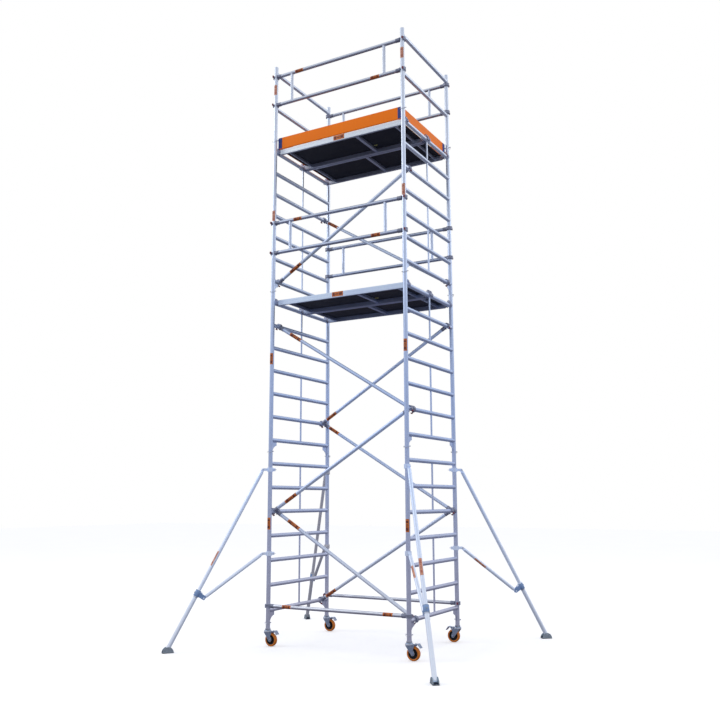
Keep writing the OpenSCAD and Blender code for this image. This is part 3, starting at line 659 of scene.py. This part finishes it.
def make_labels():
    labels, prints = Shape(), Shape()
    pale, pale_prints = Shape(), Shape()
    for x, y in COLUMNS:
        facing = -Y if y == FRONT else Y
        for z in (1.335, 3.335, 5.18, 6.9):
            film, ink = (labels, prints) if z < 5 else (pale, pale_prints)
            label_on_tube(film, ink, (x, y, z), Z, facing, COLUMN_R, 0.14, radians(62))
    for start, along, y in brace_runs():
        begin, length = (0.212, 0.186) if y < MID_Y else (0.1, 0.17)
        label_on_tube(labels, prints, start + along * begin, along, -Y, BRACE_R, length, radians(110))
    for y, facing in ((FRONT, -Y), (REAR, Y)):
        for dx in (0.21, 1.54):
            label_on_tube(labels, prints, (LEFT + dx, y, LOW_BRACE_Z), X, facing, BRACE_R, 0.12, radians(80))
        for n in PLATFORMS:
            for dx, rise in ((0.31, RAIL_RISES[1]), (1.42, RAIL_RISES[0])):
                label_on_tube(labels, prints, (LEFT + dx, y, level(n) + rise), X, facing, RAIL_R, 0.12,
                              radians(80))
    for name, start in (("lower", 0.842), ("upper", 0.856)):
        low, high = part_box(f"deck_frame_front_{name}")
        place = axes((LEFT + start + 0.077, low.y, (low.z + high.z) / 2), -Y, X)
        labels.add(slab(oblong(0.077, 0.029, 0.003), 0.001, 0.0015, 0.0001), place)
        for offset, half_x, half_y in ((-0.052, 0.014, 0.019), (-0.008, 0.022, 0.006), (0.045, 0.021, 0.015)):
            prints.add(slab(oblong(half_x, half_y, 0.002), 0.0014, 0.0017, 0.0001),
                       place @ Matrix.Translation((offset, 0, 0)))
    labels.piece("tower_labels", "label", "tower", "clip")
    prints.piece("tower_label_prints", "label_print", "tower", "clip")
    pale.piece("tower_labels_faded", "label_faded", "tower", "clip")
    pale_prints.piece("tower_label_prints_faded", "print_faded", "tower", "clip")
    for corner in CORNERS:
        labels, prints = Shape(), Shape()
        line = stabiliser_line(corner)
        facing = (-Y if corner.startswith("front") else Y) - 1.4 * line.col[0].xyz
        along = line @ Vector((0, 0, 1)) - line @ Vector((0, 0, 0))
        label_on_tube(labels, prints, line @ Vector((0, 0, 1.08)), along, facing, ARM_R, 0.18, radians(52))
        if corner.endswith("right"):
            strut = strut_line(corner)
            along = strut @ Vector((0, 0, 1)) - strut @ Vector((0, 0, 0))
            label_on_tube(labels, prints, strut @ Vector((0, 0, 0.2)), along, -Y - X * 0.6, STRUT_R, 0.18,
                          radians(70))
        labels.piece(f"stabiliser_labels_{corner}", "label_faded", f"stabiliser_{corner}", "clip")
        prints.piece(f"stabiliser_label_prints_{corner}", "print_faded", f"stabiliser_{corner}", "clip")


# ---- claws and hooks ----

def brace_runs():
    """Left end, direction and y of every diagonal brace."""
    runs = []
    front = ((12, 8, 0.14), (4, 8, 0.075), (4, 0, 0.14), (14, 18, 0.12))
    rear = ((8, 12, 0.14), (8, 4, 0.075), (0, 4, 0.14), (18, 14, 0.12))
    for braces, edge, inward in ((front, FRONT, 1), (rear, REAR, -1)):
        for a, b, inset in braces:
            y = edge + inward * inset
            start = Vector((LEFT, y, level(a)))
            runs.append((start, (Vector((RIGHT, y, level(b))) - start).normalized(), y))
    return runs


def claw_places():
    """Matrix with x along the tube and z away from the mouth, bar radius and tube radius of every claw."""
    places = []
    for start, along, y in brace_runs():
        end = start + along * ((RIGHT - LEFT) / along.x)
        for point, way in ((start, along), (end, -along)):
            up = (Z - Z.dot(way) * way).normalized()
            places.append((axes(point, up, way), RUNG_R, BRACE_R))
    for x, y in COLUMNS:
        way = X if x == LEFT else -X
        inward = Y if y == FRONT else -Y
        places.append((axes((x, y, LOW_BRACE_Z), -inward, way), COLUMN_R, BRACE_R))
        for n in PLATFORMS:
            for rise in RAIL_RISES:
                places.append((axes((x, y, level(n) + rise), inward, way), COLUMN_R, RAIL_R))
    return places


def arc(radius, start, stop, y, steps=22):
    path = []
    for i in range(steps + 1):
        angle = radians(start + (stop - start) * i / steps)
        path.append(Vector((radius * cos(angle), y, radius * sin(angle))))
    return path


def make_claw_trim():
    """Cast rims, neck rivets and trigger pivots of the claws, and bolts of the deck hooks."""
    rims, rivets = Shape(), Shape()
    boss = turned([(0.003, -0.001), (0.0062, -0.001), (0.0062, 0.0022), (0.0052, 0.003), (0.003, 0.003)], 14)
    for place, bar_r, tube_r in claw_places():
        for y in (-0.0185, 0.0185):
            rims.add(wire(arc(bar_r + 0.0148, 205, -25, y), 0.0022), place)
        for side in (1, -1):
            for run in (0.062, 0.076):
                head = on_flank(side, run, tube_r + 0.0028, 0)
                rivets.add(dome(0.0042, 0.0026), place @ head)
            pivot = on_flank(side, -bar_r - 0.0065, 0.0198, -0.012)
            rivets.add(dome(0.006, 0.004), place @ pivot)
            rivets.add(boss, place @ on_flank(side, bar_r + 0.0065, 0.0195, -0.008))
    for k in PLATFORMS:
        for y0 in hook_rows():
            for x, way in ((LEFT, 1), (RIGHT, -1)):
                for side, face in ((-1, y0), (1, y0 + HOOK_THICK)):
                    for dx, dz in ((0.04, 0.016), (0.04, -0.008), (0.0, 0.046)):
                        head = axes((x + way * dx, face, level(k) + dz), (0, side, 0), X)
                        rivets.add(dome(0.0055 if dz < 0.04 else 0.009, 0.003), head)
    rims.piece("claw_rims", "cast", "tower", "casting")
    rivets.piece("claw_and_hook_rivets", "zinc", "tower", "pin_steel")


def hook_rows():
    """Front faces of the deck hooks, as y."""
    rows = []
    for k in ("front", "rear"):
        low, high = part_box(f"deck_frame_{k}_lower")
        rows += [low.y, high.y - HOOK_THICK]
    return rows


# ---- decks and toe boards ----

def make_deck_trim():
    """Long ribs and screws of the deck beams, hatch handles, board screws and wind catches."""
    ribs, screws, handles = Shape(), Shape(), Shape()
    for name, n in DECKS:
        for k in ("front", "rear"):
            low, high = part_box(f"deck_frame_{k}_{name}")
            rib = slab(oblong((high.x - low.x) / 2 - 0.004, 0.0022, 0.001), -0.0005, 0.0011, 0.0006)
            for face, out in ((low.y, -1), (high.y, 1)):
                for z in (0.012, -0.016):
                    ribs.add(rib, axes(((low.x + high.x) / 2, face, level(n) + z), (0, out, 0), X))
            for x in (LEFT + 0.1, LEFT + 0.24, RIGHT - 0.24, RIGHT - 0.1, LEFT + 0.6, LEFT + 0.92):
                for y in (low.y + 0.016, high.y - 0.016):
                    screws.add(dome(0.0065, 0.0018), axes((x, y, level(n) + BOARD_TOP), Z, X))
    for name, n in DECKS:
        low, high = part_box(f"hatch_{name}")
        handle = Shape()
        x, y, z = (low.x + high.x) / 2, high.y - 0.055, level(n) + BOARD_TOP
        loop = [Vector((x + sx, y, z + dz)) for sx, dz in
                ((-0.045, -0.002), (-0.044, 0.006), (-0.036, 0.0105), (0, 0.0115), (0.036, 0.0105), (0.044, 0.006),
                 (0.045, -0.002))]
        handle.add(wire(loop, 0.0032, 10))
        for sx in (-0.045, 0.045):
            handle.add(slab(oblong(0.011, 0.009, 0.003), -0.0004, 0.0016, 0.0005), axes((x + sx, y, z), Z, X))
        for sx in (-0.238, -0.085, 0.085, 0.238):
            for sy in (low.y + 0.045, high.y - 0.02):
                handle.add(dome(0.005, 0.0016), axes((x + sx, sy, z), Z, X))
        handle.piece(f"hatch_handle_{name}", "zinc", f"hatch_{name}_panel", "pin_steel")
        latch = Shape()
        under = axes((LEFT + 1.2075, FRONT + 0.501, low.z), -Z, X)
        latch.add(slab(oblong(0.024, 0.011, 0.004), -0.0004, 0.005, 0.0012), under)
        latch.add(slab(oblong(0.006, 0.017, 0.003), 0.004, 0.008, 0.001), under)
        latch.piece(f"hatch_latch_{name}", "latch", f"hatch_{name}_panel", "pedal")
    ribs.piece("deck_beam_ribs", "deck", "tower", "deck_alloy")
    screws.piece("deck_board_screws", "zinc", "tower", "pin_steel")


def make_toe_boards():
    """Boards with eased edges in place of the sharp solids."""
    for node, look, along in (("toe_boards_long", "toe_x", X), ("toe_boards_short", "toe_y", Y)):
        low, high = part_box(node)
        boards = Shape()
        half = 0.0125
        centre, across = (low + high) / 2, 1 if along is X else 0
        length = high[1 - across] - low[1 - across]
        for edge in (low[across] + half, high[across] - half):
            start = centre.copy()
            start[across], start[1 - across] = edge, low[1 - across]
            boards.add(slab(oblong(half, (high.z - low.z) / 2, 0.004), 0, length, 0.003),
                       axes(start, along, X + Y - along))
        boards.piece(node + "_eased", look, "tower", "toe_board", instead_of=node)


# ---- castors ----

TYRE_R = 0.075
TYRE_HALF_WIDTH = 0.0225
RACE_HEIGHT = 0.1605


def castor_frame(i):
    """Matrix at the wheel centre with x along the trail and z up."""
    centre = Vector(JOINTS[f"wheel_spin_{CORNERS[i]}"]["pos_m"])
    trail = X if centre.x > COLUMNS[i][0] else -X
    return axes(centre, Z, trail), (centre.x - COLUMNS[i][0]) * trail.x


def tread(radius, half_width, steps=120):
    """Tyre with rounded shoulders that carry notches."""
    profile = [(0.055, -0.0195), (0.059, -half_width), (0.0665, -half_width), (0.07, -half_width + 0.0012),
               (0.0728, -half_width + 0.0036), (0.0745, -half_width + 0.008), (radius, -0.008), (radius, 0.008),
               (0.0745, half_width - 0.008), (0.0728, half_width - 0.0036), (0.07, half_width - 0.0012),
               (0.0665, half_width), (0.059, half_width), (0.055, 0.0195)]
    points, faces = turned(profile, steps)
    shoulder = {3, 4, 5, 8, 9, 10}
    for step in range(steps):
        if step % 5 == 0:
            for i in shoulder:
                point = points[step * len(profile) + i]
                flat = Vector((point.x, point.y, 0))
                point -= flat.normalized() * 0.0016
    return points, faces


def make_castor(i):
    corner = CORNERS[i]
    place, trail = castor_frame(i)
    sideways = place @ CROSSWISE

    tyre = Shape()
    tyre.add(tread(TYRE_R, TYRE_HALF_WIDTH), sideways)
    tyre.piece(f"tyre_{corner}", "tyre", f"wheel_{corner}", "tyre", instead_of=f"castor_tyre_{corner}")

    core = Shape()
    core.add(turned([(0.0065, -0.025), (0.015, -0.025), (0.017, -0.022), (0.018, -0.009), (0.018, 0.009),
                     (0.017, 0.022), (0.015, 0.025), (0.0065, 0.025)], 28), sideways)
    core.add(turned([(0.048, -0.0165), (0.05, -0.018), (0.0548, -0.0185), (0.0548, 0.0185), (0.05, 0.018),
                     (0.048, 0.0165), (0.047, 0.005), (0.047, -0.005)], 48), sideways)
    core.add(turned([(0.017, -0.0035), (0.0475, -0.003), (0.0475, 0.003), (0.017, 0.0035)], 40), sideways)
    for spoke in range(8):
        turn = sideways @ Matrix.Rotation(radians(45 * spoke), 4, "Z")
        outline = [(0.0165, -0.0032), (0.048, -0.0022), (0.048, 0.0022), (0.0165, 0.0032)]
        core.add(slab(outline, -0.015, 0.015, 0.0008), turn)
    core.piece(f"wheel_core_{corner}", "core", f"wheel_{corner}", "core", instead_of=f"castor_core_{corner}")

    hub = Shape()
    bearing = [(0.0072, -0.0006), (0.0145, -0.0006), (0.0145, 0.0003), (0.0132, 0.0008), (0.0072, 0.0008)]
    for side in (1, -1):
        hub.add(turned(bearing, 24), place @ on_flank(side, 0, 0.025, 0))
    hub.piece(f"wheel_bearings_{corner}", "zinc", f"wheel_{corner}", "pin_steel")

    trim = Shape()
    race = [(0.0432, 0.0), (0.0444, 0.001), (0.0444, 0.0035), (0.0434, 0.005), (0.0425, 0.005), (0.0425, 0.0)]
    column = place @ Matrix.Translation((-trail, 0, RACE_HEIGHT - TYRE_R))
    trim.add(turned(race, 40), column)
    trim.add(turned([(r, h + 0.0065) for r, h in race], 40), column)
    for side in (1, -1):
        for x, z in ((-0.058, 0.07), (-0.02, 0.07), (0.014, 0.092)):
            trim.add(dome(0.0042, 0.0026), place @ on_flank(side, x, 0.031, z))
        edge = [(-0.083, 0.08), (-0.0225, -0.002), (-0.018, -0.01), (-0.0105, -0.0175), (0.0, -0.0205),
                (0.0105, -0.0175), (0.018, -0.01), (0.021, 0.0), (0.013, 0.03)]
        path = [Vector((x, side * 0.03, z)) for x, z in edge]
        trim.add(wire(path, 0.0019), place)
        cap = [(0.0052, -0.001), (0.0052, 0.0012), (0.004, 0.0022), (0.0008, 0.0026)]
        trim.add(turned(cap, 16, closed=False), place @ on_flank(side, 0, 0.0378, 0))
    trim.piece(f"castor_trim_{corner}", "zinc", f"castor_{corner}", "pin_steel")

    pedal = Shape()
    pivot = Vector(JOINTS[f"brake_press_{corner}"]["pos_m"])
    hinge = place.inverted() @ pivot
    lever = place @ Matrix.Translation(hinge)
    profile = lever @ SIDE_ON
    pedal.add(turned([(0.0041, -0.0254), (0.0072, -0.0254), (0.008, -0.0244), (0.008, 0.0244), (0.0072, 0.0254),
                      (0.0041, 0.0254)], 28), lever @ CROSSWISE)
    arch = [(0.0052, 0.0012), (0.041, 0.0072), (0.046, 0.0033), (0.0497, 0.009), (0.043, 0.0138), (0.0023, 0.0069)]
    pedal.add(slab(arch, -0.0249, 0.0249, 0.0011), profile)
    plate = [(0.0442, 0.0071), (0.075, -0.0308), (0.0798, -0.027), (0.0499, 0.0128), (0.0442, 0.0138)]
    pedal.add(slab(plate, -0.0298, 0.0298, 0.0012), profile)
    for s in (0.006, 0.014, 0.022, 0.03, 0.038, 0.045):
        rib = axes((0.05 + 0.6 * s, 0, 0.013 - 0.8 * s), (0.8, 0, 0.6), (0.6, 0, -0.8))
        pedal.add(slab(oblong(0.0016, 0.026, 0.0008), -0.0006, 0.0009, 0.0004), lever @ rib)
    web = [(0.006, -0.003), (0.036, 0.0012), (0.04, 0.0074), (0.006, 0.0018)]
    for y in (-0.019, 0.019):
        pedal.add(slab(web, y - 0.0018, y + 0.0018, 0.0006), profile)
    shoe = [(0.0122, -0.0128), (0.0238, -0.0128), (0.0238, 0.004), (0.0122, 0.003)]
    pedal.add(slab(shoe, -0.0118, 0.0118, 0.0012), profile)
    pedal.piece(f"pedal_{corner}", "pedal", f"brake_{corner}", "pedal", instead_of=f"brake_pedal_{corner}")


# ---- stabilisers ----

ARM_R = 0.0212
LEG_R = ARM_R + 0.003
STRUT_R = 0.02
UPPER_PIVOT = (0.09, 2.045)
LOWER_PIVOT = (0.08, 1.075)
LOWER_LIFT = dict(zip(CORNERS, (-0.02, 0.033, 0.0, 0.028)))
STRUT_PIVOT = (0.77, 0.575)
SLEEVE_END = 1.64


def outward(corner):
    """Level unit vector from the column towards the stabiliser foot."""
    axis = JOINTS[f"leg_slide_{corner}"]["axis"]
    return Vector((axis[0], axis[1], 0)).normalized()


def column_of(corner):
    x, y = COLUMNS[CORNERS.index(corner)]
    return Vector((x, y, 0))


def stabiliser_line(corner):
    """Matrix at the upper pivot: z down the tube, x towards the strut."""
    away = outward(corner)
    down = Vector(JOINTS[f"leg_slide_{corner}"]["axis"]).normalized()
    start = column_of(corner) + away * UPPER_PIVOT[0] + Z * UPPER_PIVOT[1]
    return axes(start, down, -Z - away * 0.2)


def strut_line(corner):
    away = outward(corner)
    clamp_z = LOWER_PIVOT[1] + LOWER_LIFT[corner]
    run = away * (STRUT_PIVOT[0] - LOWER_PIVOT[0]) + Z * (STRUT_PIVOT[1] - clamp_z)
    return axes(column_of(corner) + away * LOWER_PIVOT[0] + Z * clamp_z, run, Z)


def make_stabiliser(corner):
    away = outward(corner)
    line = stabiliser_line(corner)
    sideways = Z.cross(away)
    pivot = column_of(corner) + away * STRUT_PIVOT[0] + Z * STRUT_PIVOT[1]
    eye = line.inverted() @ pivot

    trim = Shape()
    for at in (SLEEVE_END - 0.076, SLEEVE_END - 0.002):
        ring = [(0.0305, -0.0015), (0.0322, -0.0015), (0.0328, 0.0), (0.0322, 0.0015), (0.0305, 0.0015)]
        trim.add(turned(ring, 36), line @ Matrix.Translation((0, 0, at)))
    screw = line @ axes((-0.0318, 0, SLEEVE_END - 0.039), (-1, 0, 0), (0, 0, 1))
    trim.add(turned([(0.0045, -0.001), (0.0085, 0.0), (0.0085, 0.004), (0.007, 0.0055), (0.003, 0.006)],
                    18, closed=False), screw)
    trim.piece(f"collar_trim_{corner}", "foot", f"stabiliser_{corner}", "foot")

    bolts = Shape()
    for radius, z in (UPPER_PIVOT, (LOWER_PIVOT[0], LOWER_PIVOT[1] + LOWER_LIFT[corner])):
        for side in (1, -1):
            head = column_of(corner) + away * radius + Z * z + sideways * side * 0.0185
            bolts.add(turned([(0.003, 0), (0.0078, 0), (0.0088, -0.0006), (0.0088, -0.0012), (0.003, -0.0012)], 18),
                      axes(head, sideways * -side, Z))
        nut = column_of(corner) - away * 0.049 + Z * z + sideways * 0.03
        wing = [(-0.024, 0.002), (-0.02, -0.004), (-0.009, -0.005), (0.009, -0.005), (0.02, -0.004), (0.024, 0.002),
                (0.02, 0.01), (0.012, 0.004), (0.0, 0.007), (-0.012, 0.004), (-0.02, 0.01)]
        bolts.add(slab(wing, -0.0025, 0.0025, 0.0008), axes(nut, Z, -away))
    bolts.piece(f"clamp_nuts_{corner}", "zinc", f"stabiliser_{corner}", "pin_steel")

    bracket = Shape()
    edge = eye.x + 0.0185
    outline = [(0.018, -0.04), (0.018, 0.014), (eye.x + 0.006, 0.02), (eye.x + 0.015, 0.017), (edge, 0.008),
               (edge, -0.018), (eye.x + 0.015, -0.026), (eye.x + 0.006, -0.03)]
    for side in (1, -1):
        cheek = line @ Matrix.Translation((0, 0, eye.z)) @ SIDE_ON
        bracket.add(slab(outline[::-1], side * 0.0153 - 0.0015, side * 0.0153 + 0.0015, 0.0007), cheek)
    shell = [(0.0311, -0.074), (0.0322, -0.0725), (0.0322, -0.0055), (0.0311, -0.004)]
    bracket.add(turned(shell, 36), line @ Matrix.Translation((0, 0, SLEEVE_END)))
    bracket.piece(f"strut_bracket_{corner}", "bracket", f"stabiliser_{corner}", "fork")

    leg = Shape()
    button = line @ on_flank(1, 0, LEG_R, SLEEVE_END + 0.06)
    leg.add(dome(0.0055, 0.005, 16), button)
    ring = [(LEG_R - 0.0004, 0.0), (LEG_R + 0.0012, 0.0008), (LEG_R + 0.0012, 0.008), (LEG_R - 0.0004, 0.0095)]
    leg.add(turned(ring, 36), line @ Matrix.Translation((0, 0, SLEEVE_END + 0.0015)))
    leg.piece(f"leg_trim_{corner}", "zinc", f"leg_{corner}", "pin_steel")
    make_foot(corner)


def make_foot(corner):
    """Rubber sole with ribs, two cheeks and their bolt heads in place of the plain foot."""
    pivot = Vector(JOINTS[f"foot_tilt_{corner}"]["pos_m"])
    away = outward(corner)
    place = axes((pivot.x, pivot.y, 0), Z, away)
    half_x, half_y = 0.065, 0.036

    rubber = Shape()
    rubber.add(slab(oblong(half_x - 0.0004, half_y - 0.0004, 0.009), 0.0022, 0.0072, 0.0012), place)
    for k in range(9):
        x = -0.056 + 0.014 * k
        rubber.add(slab(bar(x - 0.0045, x + 0.0045, -0.032, 0.032), 0.0, 0.003, 0.0008), place)
    bumper = [(-0.024, 0.007), (0.024, 0.007), (0.024, 0.016)]
    bumper += [(0.024 * cos(a), 0.016 + 0.0095 * sin(a)) for a in
               (radians(30 * k) for k in range(1, 6))] + [(-0.024, 0.016)]
    for start, stop in ((-0.06, -0.034), (0.034, 0.06)):
        rubber.add(slab(bumper, start, stop, 0.0015), place @ axes((0, 0, 0), X, Y))
    rubber.piece(f"foot_sole_{corner}", "sole", f"foot_{corner}", "foot")

    metal = Shape()
    metal.add(slab(oblong(0.063, 0.033, 0.006), 0.0068, 0.0094, 0.0006), place)
    for side in (1, -1):
        outline = []
        for k in range(25):
            angle = radians(6 + 168 * k / 24)
            outline.append((0.0628 * cos(angle), 0.0628 * sin(angle) + 0.002))
        cheek = place @ axes((0, side * 0.0275, 0), (0, -1, 0), X)
        metal.add(slab(outline, -0.0024, 0.0024, 0.001), cheek)
        rim = [Vector((x * 0.985, side * 0.0296, z)) for x, z in outline]
        metal.add(wire(rim, 0.0016), place)
        head = place @ on_flank(side, 0, 0.03, pivot.z)
        washer = [(0.006, -0.0004), (0.01, -0.0004), (0.0108, 0.0004), (0.0108, 0.001), (0.006, 0.001)]
        metal.add(turned(washer, 20), head)
        six = [(0.0092 * cos(radians(60 * k)), 0.0092 * sin(radians(60 * k))) for k in range(6)]
        metal.add(slab(six, 0.0008, 0.005, 0.0008), head)
    metal.add(turned([(0.0058, -0.03), (0.0058, 0.03), (0.001, 0.0302)], 16, closed=False),
              place @ axes((0, 0, pivot.z), Y, X))
    metal.piece(f"foot_shell_{corner}", "foot", f"foot_{corner}", "foot", instead_of=f"stabiliser_foot_{corner}")


# ---- studio ----

def make_studio():
    """Pale floor, a soft sky that is white to the camera, and two softboxes."""
    mesh = bpy.data.meshes.new("studio_floor")
    half = 40
    mesh.from_pydata([(-half, -half, 0), (half, -half, 0), (half, half, 0), (-half, half, 0)], [], [(0, 1, 2, 3)])
    mesh.materials.append(floor_material())
    floor = bpy.data.objects.new("studio_floor", mesh)
    floor.location.z = -0.0005
    floor.visible_glossy = False
    floor.visible_diffuse = False
    link(floor)

    world = bpy.data.worlds.new("studio")
    world.use_nodes = True
    bpy.context.scene.world = world
    nodes, links = world.node_tree.nodes, world.node_tree.links
    sky = nodes["Background"]
    place = nodes.new("ShaderNodeTexCoord")
    split = nodes.new("ShaderNodeSeparateXYZ")
    ramp = nodes.new("ShaderNodeValToRGB")
    height = nodes.new("ShaderNodeMapRange")
    height.inputs["From Min"].default_value = -1
    links.new(place.outputs["Generated"], split.inputs["Vector"])
    links.new(split.outputs["Z"], height.inputs["Value"])
    links.new(height.outputs["Result"], ramp.inputs["Fac"])
    stops = [(0.0, (0.1, 0.095, 0.13)), (0.42, (0.15, 0.145, 0.2)), (0.5, (0.52, 0.53, 0.61)),
             (0.6, (0.66, 0.69, 0.77)), (1.0, (0.68, 0.68, 0.71))]
    ramp.color_ramp.elements.remove(ramp.color_ramp.elements[1])
    for i, (position, colour) in enumerate(stops):
        stop = ramp.color_ramp.elements[0] if i == 0 else ramp.color_ramp.elements.new(position)
        stop.position = position
        stop.color = (*colour, 1)
    links.new(ramp.outputs["Color"], sky.inputs["Color"])
    white = nodes.new("ShaderNodeBackground")
    mixer = nodes.new("ShaderNodeMixShader")
    path = nodes.new("ShaderNodeLightPath")
    links.new(path.outputs["Is Camera Ray"], mixer.inputs["Fac"])
    links.new(sky.outputs["Background"], mixer.inputs[1])
    links.new(white.outputs["Background"], mixer.inputs[2])
    white.inputs["Color"].default_value = (1, 1, 1, 1)
    links.new(mixer.outputs["Shader"], nodes["World Output"].inputs["Surface"])

    for name, place, energy, size in (
            ("key_softbox", (-10.5, -5.5, 10.0), 300, 4.0),
            ("fill_softbox", (8.5, 6.0, 9.0), 130, 5.0)):
        data = bpy.data.lights.new(name, "AREA")
        data.energy = energy
        data.size = size
        light = bpy.data.objects.new(name, data)
        light.location = place
        target = Vector((0, 0, 3.4)) - light.location
        light.rotation_euler = target.to_track_quat("-Z", "Y").to_euler()
        link(light)
    bpy.context.scene.view_settings.view_transform = "Standard"


make_camera()
make_studio()
dress_frame()
make_welds()
make_labels()
make_claw_trim()
make_deck_trim()
make_toe_boards()
for corner_index, corner_name in enumerate(CORNERS):
    make_castor(corner_index)
    make_stabiliser(corner_name)
